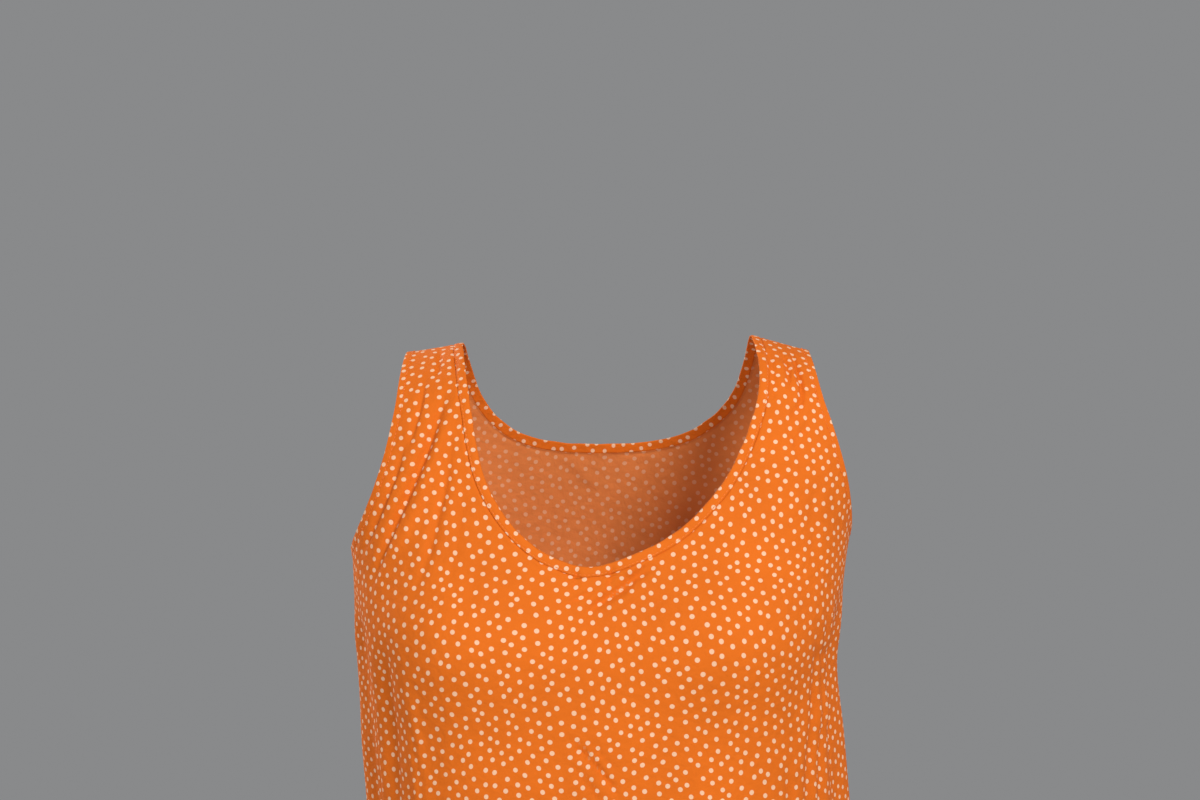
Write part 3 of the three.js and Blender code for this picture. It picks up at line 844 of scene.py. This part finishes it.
def new_group(name, kind, inputs, output):
    """A group with its sockets, each a name and a type, and a value where an input has one."""
    tree = bpy.data.node_groups.new(name, kind)
    for way, sockets in (("INPUT", inputs), ("OUTPUT", (output,))):
        for label, sort, *value in sockets:
            socket = tree.interface.new_socket(name=label, in_out=way, socket_type="NodeSocket" + sort)
            if value:
                socket.default_value = value[0]
    return tree, new_node(tree, "NodeGroupInput").outputs, new_node(tree, "NodeGroupOutput").inputs[0]


def split(tree, place):
    return new_node(tree, "ShaderNodeSeparateXYZ", {0: place}).outputs


def new_material(name):
    material = bpy.data.materials.new(name)
    material.use_nodes = True
    tree = material.node_tree
    return material, tree, tree.nodes["Principled BSDF"]


def make_dots_group():
    """Dots scattered evenly but at random, as a mask from a place on the flat cut in metres."""
    tree, given, done = new_group("scattered dots", "ShaderNodeTree", (
        ("Cut", "Vector"), ("Spacing", "Float", 0.0081), ("Scatter", "Float", 0.38),
        ("Radius", "Float", 0.00154), ("Blur", "Float", 0.00025),
    ), ("Dot", "Float"))
    cut, spacing = given["Cut"], given["Spacing"]
    drift = noise(tree, cut, 22, Detail=0)["Color"]
    centred = new_node(tree, "ShaderNodeVectorMath", {0: drift, 1: (0.5, 0.5, 0.5)},
                       operation="SUBTRACT")
    drifted = new_node(tree, "ShaderNodeVectorMath",
                       {0: centred.outputs[0], 1: (DOT_DRIFT, DOT_DRIFT, 0), 2: cut},
                       operation="MULTIPLY_ADD")
    x, y, _ = split(tree, drifted.outputs[0])
    # A lattice of even triangles: its second axis leans, and its unit is one spacing.
    slant = maths(tree, "MULTIPLY", y, 1 / math.sqrt(3))
    lattice = new_node(tree, "ShaderNodeCombineXYZ", {
        "X": maths(tree, "DIVIDE", maths(tree, "SUBTRACT", x, slant), spacing),
        "Y": maths(tree, "DIVIDE", maths(tree, "MULTIPLY", slant, 2), spacing),
    })
    cells = new_node(tree, "ShaderNodeTexVoronoi",
                     {"Vector": lattice.outputs[0], "Scale": 1, "Randomness": given["Scatter"]},
                     voronoi_dimensions="2D", feature="F1")
    cell_x, cell_y, _ = split(tree, cells.outputs["Position"])
    half_up = maths(tree, "MULTIPLY", cell_y, 0.5)
    centre_x = maths(tree, "MULTIPLY", maths(tree, "ADD", cell_x, half_up), spacing)
    centre_y = maths(tree, "MULTIPLY", maths(tree, "MULTIPLY", cell_y, spacing), math.sqrt(3) / 2)
    gap_x, gap_y = maths(tree, "SUBTRACT", x, centre_x), maths(tree, "SUBTRACT", y, centre_y)
    squares = (maths(tree, "MULTIPLY", gap, gap) for gap in (gap_x, gap_y))
    gap = maths(tree, "SQRT", maths(tree, "ADD", *squares))
    inside = maths(tree, "DIVIDE", maths(tree, "SUBTRACT", given["Radius"], gap), given["Blur"])
    clamped = new_node(tree, "ShaderNodeClamp", {0: maths(tree, "ADD", inside, 0.5)})
    tree.links.new(clamped.outputs[0], done)
    return tree


def make_weave_group():
    """Height of a plain weave over the flat cut, with the fine crumples of worn cloth."""
    tree, given, done = new_group("plain weave", "ShaderNodeTree", (
        ("Cut", "Vector"), ("Thread", "Float", 0.0004), ("Crumple", "Float", 44),
    ), ("Height", "Float"))
    waves = []
    for place in split(tree, given["Cut"])[:2]:
        turns = maths(tree, "DIVIDE", place, given["Thread"])
        waves.append(maths(tree, "SINE", maths(tree, "MULTIPLY", turns, 2 * math.pi)))
    slub = noise(tree, given["Cut"], 900, Detail=2)["Fac"]
    crumple = noise(tree, given["Cut"], 125, Detail=3, Distortion=0.15)["Fac"]
    woven = maths(tree, "MULTIPLY", maths(tree, "MULTIPLY", *waves), THREAD_RELIEF)
    worn = maths(tree, "MULTIPLY", crumple, given["Crumple"])
    tree.links.new(maths(tree, "ADD", maths(tree, "ADD", woven, slub), worn), done)
    return tree


DOTS = make_dots_group()
WEAVE = make_weave_group()


def cloth_material(name, ground, dot, dot_strength, turned, shifted=(0, 0, 0)):
    material, tree, shader = new_material(name)
    cut = new_node(tree, "ShaderNodeUVMap", uv_map="cut").outputs[0]
    laid = new_node(tree, "ShaderNodeMapping",
                    {0: cut, "Rotation": (0, 0, turned), "Location": shifted})
    print_mask, weave = (
        new_node(tree, "ShaderNodeGroup", {"Cut": laid.outputs[0]}, node_tree=group).outputs[0]
        for group in (DOTS, WEAVE)
    )
    printed = maths(tree, "MULTIPLY", print_mask, dot_strength)
    dyed = new_node(tree, "ShaderNodeMix", {0: printed, 6: ground, 7: dot}, data_type="RGBA")
    fade = noise(tree, cut, 18, Detail=6, Roughness=0.62)["Fac"]
    faded = new_node(tree, "ShaderNodeMapRange",
                     {"Value": fade, "To Min": LEAST_DYED, "To Max": MOST_DYED})
    shade = new_node(tree, "ShaderNodeVectorMath", {0: dyed.outputs[2], "Scale": faded.outputs[0]},
                     operation="SCALE")
    bump = new_node(tree, "ShaderNodeBump", {"Height": weave, "Strength": 0.35, "Distance": 0.00006})
    set_inputs(tree, shader, {
        "Base Color": shade.outputs[0],
        "Normal": bump.outputs[0],
        "Roughness": 0.78,
        "Sheen Weight": 0.02,
        "Sheen Roughness": 0.45,
        "Specular IOR Level": 0.1,
    })
    return material


# ---- The pieces ----

RIGHT_SIDE = cloth_material("printed side of the cloth", ORANGE, CREAM, 1.0, PRINT_TURN)
WRONG_SIDE = cloth_material("wrong side of the cloth", PALE_ORANGE, PALE_CREAM, 0.6, PRINT_TURN)
BAND_SIDE = cloth_material("bias band", ORANGE, CREAM, 1.0, BIAS_TURN, BIAS_SHIFT)


def make_panel(panel):
    turn, run, quads, edges = build_panel(panel)
    base, normal, height, across, down, from_side = cloth_places(panel, turn, run)
    distance = {"side": from_side, "shoulder": run}
    for edge, lines in edges.items():
        distance[edge] = np.minimum(*(distance_to(base, base[line]) for line in lines))
    raised = base[:, 2] - CURVES[panel]["z"](run)
    triangles = np.concatenate((quads[:, [0, 1, 2]], quads[:, [0, 2, 3]]))
    flat_places = flatten(base + normal * height[:, None], across + 1j * (raised - down), triangles)
    cut = np.stack((flat_places.real, flat_places.imag), axis=-1)
    pucker = rumple(PUCKER["seed"])(*(cut / PUCKER["length"]).T)
    layers = np.ones_like(height)
    for edge, (ends_from, ends_at, rise) in TURNED_EDGES.items():
        turned = 1 - ease(ends_from, ends_at, distance[edge])
        layers += turned
        height += rise * turned
    for edge, place, depth, puckered, reach in DRAWN_LINES:
        height -= (depth + puckered * pucker) * bell((distance[edge] - place) / reach)
    points = base + normal * height[:, None]
    piece = shell(f"{panel}_panel", points, quads, CLOTH * layers, cut, (RIGHT_SIDE, WRONG_SIDE))
    area = length_of(face_normals(points, quads)).sum() / 2 * METRE ** 2
    return piece, tuple(np.ptp(cut, axis=0) * METRE), area


front, front_flat, front_area = make_panel("front")
back, back_flat, back_area = make_panel("back")
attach(front, "root")
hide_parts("front")
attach(back, "root")
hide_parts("back")


def neck_surface(steps, points_per_edge):
    """Rings of points over the neck band, one for each share of its width."""
    rings = []
    for panel, hand_name, upwards in (("front", "right", False), ("front", "left", True),
                                      ("back", "left", False), ("back", "right", True)):
        hand = HAND[hand_name]
        shares = np.linspace(0, 1, points_per_edge)
        places = edge_places(panel, hand, NECK[panel][hand_name], shares, 0)
        ring = np.stack([on_cloth(panel, *moved_edge(panel, hand, places, BAND_WIDTH * step))
                         for step in steps], axis=1)
        rings.append((ring[::-1] if upwards else ring)[:-1])
    return np.concatenate(rings)


def make_band():
    """A strip of bias cloth folded over the neck edge, crowned, lightly puckered and closed up."""
    share = np.linspace(0, 1, BAND["columns"])
    surface = neck_surface(share, BAND["points"])
    count, columns, _ = surface.shape
    along = np.roll(surface[:, 0], -1, axis=0) - np.roll(surface[:, 0], 1, axis=0)
    normal = unit(np.cross(surface[:, -1] - surface[:, 0], along))
    if normal[count // 4] @ (0, -1, 0) < 0:
        normal = -normal
    inward = unit(surface[:, 0] - surface[:, -1])
    middle = surface[:, columns // 2]
    walked = np.cumsum(length_of(middle - np.roll(middle, 1, axis=0)))
    swell = rumple(BAND["ripple_seed"])(walked / BAND["ripple_length"], walked * 0)
    wander = rumple(BAND["sway_seed"])(walked / BAND["sway_length"], walked * 0)
    crown = BAND["least"] + BAND["crown"] * np.clip(1 - np.abs(2 * share - 1) ** 3, 0, 1)
    crown -= BAND["groove"] * bell((share * BAND_WIDTH - STITCHED_BAND) / BAND["groove_reach"])
    ripple = BAND["ripple"] * swell[:, None] * np.sin(math.pi * share)[None, :]
    sway = ((BAND["sway"] * wander)[:, None] * (1 - share)[None, :])[..., None] * inward[:, None]
    rise = normal[:, None]
    top = surface + rise * (crown[None, :] + ripple)[..., None] + sway
    under = surface - rise * (BAND_FOLDED - BAND["proud"]) + sway
    fold = surface[:, :1] + inward[:, None] * BAND["fold_out"] + sway[:, :1] - rise * BAND["fold_down"]
    outside = np.concatenate((top[:, ::-1], fold, under), axis=1)
    inside = np.concatenate((top[:, ::-1] - rise * BAND_CLOTH, fold - inward[:, None] * BAND_CLOTH,
                             under + rise * BAND_CLOTH), axis=1)
    loop = np.concatenate((outside, inside[:, ::-1]), axis=1)
    wide = loop.shape[1]
    number = np.arange(count * wide).reshape(count, wide)
    following = np.roll(number, -1, axis=0)
    corners = (number, np.roll(number, -1, axis=1), np.roll(following, -1, axis=1), following)
    faces = np.stack(corners, axis=-1)
    if np.cross(loop[0, 1] - loop[0, 0], loop[1, 0] - loop[0, 0]) @ normal[0] < 0:
        faces = faces[..., ::-1]
    faces = faces.reshape(-1, 4)
    strip = np.concatenate(([0], np.cumsum(length_of(np.diff(outside, axis=1)).mean(axis=0))))
    across_band = np.concatenate((strip, strip[::-1]))
    places = np.broadcast_arrays(walked[:, None], across_band[None, :])
    cut = np.stack(places, axis=-1).reshape(-1, 2)[faces]
    closing = faces.max(axis=1) >= wide * (count - 1)
    cut[closing, :, 0] += walked[-1] * (faces[closing] < wide)
    slots = np.zeros(len(faces), int)
    piece = add_cloth("neck_band", loop.reshape(-1, 3), faces, cut, (BAND_SIDE,), slots)
    seam = top[:, round(STITCHED_BAND / BAND_WIDTH * (columns - 1))]
    return piece, (walked[-1] * METRE, strip[-1] * METRE), seam


band, band_flat, band_seam = make_band()
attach(band, "root")
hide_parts("neck_binding")


# ---- Stitching ----

def armhole_stitch_lines():
    shares = np.linspace(0, 1, LINE_POINTS["armhole"])
    for panel in ("front", "back"):
        for hand_name, hand in HAND.items():
            places = edge_places(panel, hand, ARMHOLE[panel][hand_name], shares, hand * QUARTER)
            turn, run = moved_edge(panel, -hand, places, STITCHED_ARMHOLE)
            yield on_cloth(panel, turn, run, STITCH_LIFT["armhole"])


def hem_stitch_lines():
    turn = np.linspace(-QUARTER, QUARTER, LINE_POINTS["hem"])
    for panel in ("front", "back"):
        _, per_run = stretch(panel, turn, HEM_RUN)
        yield on_cloth(panel, turn, HEM_RUN - STITCHED_HEM / per_run, STITCH_LIFT["hem"])


def make_stitch_tree():
    """A row of stitches along each line: small rounded threads, end to end with short gaps."""
    tree, given, done = new_group("row of stitches", "GeometryNodeTree", (
        ("Geometry", "Geometry"), ("Pitch", "Float"), ("Length", "Float"), ("Width", "Float"),
        ("Thread", "Material"),
    ), ("Geometry", "Geometry"))
    width = given["Width"]
    lines = new_node(tree, "GeometryNodeMeshToCurve", {0: given["Geometry"]})
    evened = new_node(tree, "GeometryNodeResampleCurve",
                      {"Curve": lines.outputs[0], "Length": given["Pitch"]}, mode="LENGTH")
    thread = new_node(tree, "GeometryNodeMeshUVSphere", {"Segments": 8, "Rings": 5, "Radius": 0.5})
    size = new_node(tree, "ShaderNodeCombineXYZ", {"X": width, "Y": width, "Z": given["Length"]})
    drawn_out = new_node(tree, "GeometryNodeTransform",
                         {"Geometry": thread.outputs["Mesh"], "Scale": size.outputs[0]})
    along = new_node(tree, "GeometryNodeInputTangent")
    turned = new_node(tree, "FunctionNodeAlignRotationToVector", {"Vector": along.outputs[0]}, axis="Z")
    sizes = new_node(tree, "FunctionNodeRandomValue",
                     {2: LEAST_STITCH, 3: LARGEST_STITCH, "Seed": 5}, data_type="FLOAT")
    rows = new_node(tree, "GeometryNodeInstanceOnPoints", {
        "Points": evened.outputs[0],
        "Instance": drawn_out.outputs[0],
        "Rotation": turned.outputs[0],
        "Scale": sizes.outputs[1],
    })
    real = new_node(tree, "GeometryNodeRealizeInstances", {0: rows.outputs[0]})
    smooth = new_node(tree, "GeometryNodeSetShadeSmooth", {0: real.outputs[0]})
    painted = new_node(tree, "GeometryNodeSetMaterial",
                       {0: smooth.outputs[0], "Material": given["Thread"]})
    tree.links.new(painted.outputs[0], done)
    return tree


def make_stitches(name, lines, closed=False):
    points, joins = [], []
    for line in lines:
        first = len(points)
        points.extend((line * METRE).tolist())
        joins.extend((i, i + 1) for i in range(first, len(points) - 1))
        if closed:
            joins.append((len(points) - 1, first))
    mesh = bpy.data.meshes.new(name)
    mesh.from_pydata(points, joins, [])
    guide = add_object(name + "_guide", mesh)
    row = guide.modifiers.new("stitches", "NODES")
    row.node_group = STITCH_TREE
    values = {"Pitch": STITCH_PITCH * METRE, "Length": STITCH_LENGTH * METRE,
              "Width": STITCH_WIDTH * METRE, "Thread": THREAD}
    for socket in STITCH_TREE.interface.items_tree:
        if socket.in_out == "INPUT" and socket.name in values:
            row[socket.identifier] = values[socket.name]
    evaluated = guide.evaluated_get(bpy.context.evaluated_depsgraph_get())
    made = bpy.data.meshes.new_from_object(evaluated)
    made.name = name
    piece = add_object(name, made)
    bpy.data.objects.remove(guide)
    return piece


def thread_material():
    material, tree, shader = new_material("sewing thread")
    place = new_node(tree, "ShaderNodeTexCoord").outputs["Object"]
    wave = new_node(tree, "ShaderNodeTexWave", {"Vector": place, "Scale": 900, "Distortion": 2})
    twist = wave.outputs["Fac"]
    # Painted shade and light: the twist height, which also drives the bump, darkens the thread in its
    # grooves and brightens it on its crests.
    shade = new_node(tree, "ShaderNodeMix", {0: twist, 6: THREAD_IN_PAINTED_GROOVE_SHADE, 7: THREAD_WITH_PAINTED_CREST_LIGHT},
                     data_type="RGBA")
    bump = new_node(tree, "ShaderNodeBump", {"Height": twist, "Strength": 0.4, "Distance": 0.0001})
    set_inputs(tree, shader, {
        "Base Color": shade.outputs[2],
        "Normal": bump.outputs[0],
        "Roughness": 0.55,
    })
    return material


STITCH_TREE = make_stitch_tree()
THREAD = thread_material()
seam_lines = [*armhole_stitch_lines(), *hem_stitch_lines()]
seam_stitches = make_stitches("hem_and_armhole_stitches", seam_lines)
neck_stitches = make_stitches("neck_stitches", [band_seam], closed=True)
for stitches in (seam_stitches, neck_stitches):
    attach(stitches, "root")


# ---- Stage ----

FLOOR = {"radius": 3.2, "z": -1.42, "corners": 96, "grey": (0.5, 0.5, 0.49, 1)}
ROOM_GREY = (0.25, 0.253, 0.258, 1)


def add_floor():
    mesh = bpy.data.meshes.new("floor")
    radius, z, corners = FLOOR["radius"], FLOOR["z"], FLOOR["corners"]
    turns = [2 * math.pi * i / corners for i in range(corners)]
    rim = [(radius * math.cos(turn), radius * math.sin(turn), z) for turn in turns]
    mesh.from_pydata(rim, [], [tuple(range(corners))])
    paint, tree, shader = new_material("pale floor")
    set_inputs(tree, shader, {"Base Color": FLOOR["grey"], "Roughness": 0.9})
    mesh.materials.append(paint)
    add_object("floor", mesh)


LIGHTS = (
    # name, place, breadth, power, aimed at
    ("key", (1.0, -2.04, 1.04), 1.0, 51, (0, 0, -0.25)),
    ("fill", (-1.9, -2.0, 0.1), 2.0, 22, (0, 0, -0.35)),
    ("back light", (-1.9, 1.7, 1.2), 1.4, 52, (0, 0, -0.35)),
    ("side light", (2.3, 0.5, 0.9), 1.4, 6, (0, 0, -0.35)),
)


def add_lights():
    world = bpy.data.worlds.new("pale grey room")
    bpy.context.scene.world = world
    world.use_nodes = True
    world.node_tree.nodes["Background"].inputs["Color"].default_value = ROOM_GREY
    for name, place, breadth, power, aimed_at in LIGHTS:
        light = bpy.data.lights.new(name, "AREA")
        light.shape = "DISK"
        light.size = breadth
        light.energy = power
        lamp = add_object(name, light)
        lamp.location = place
        aim = Vector(aimed_at) - Vector(place)
        lamp.rotation_euler = aim.to_track_quat("-Z", "Y").to_euler()


def add_camera():
    view = bpy.data.cameras.new("camera")
    view.lens = 50
    view.sensor_width = 36
    camera = add_object("camera", view)
    camera.location = (0, -1.2, -0.041)
    camera.rotation_euler = (QUARTER, 0, 0)
    bpy.context.scene.camera = camera


add_floor()
add_lights()
add_camera()
bpy.context.scene.view_settings.view_transform = "Standard"
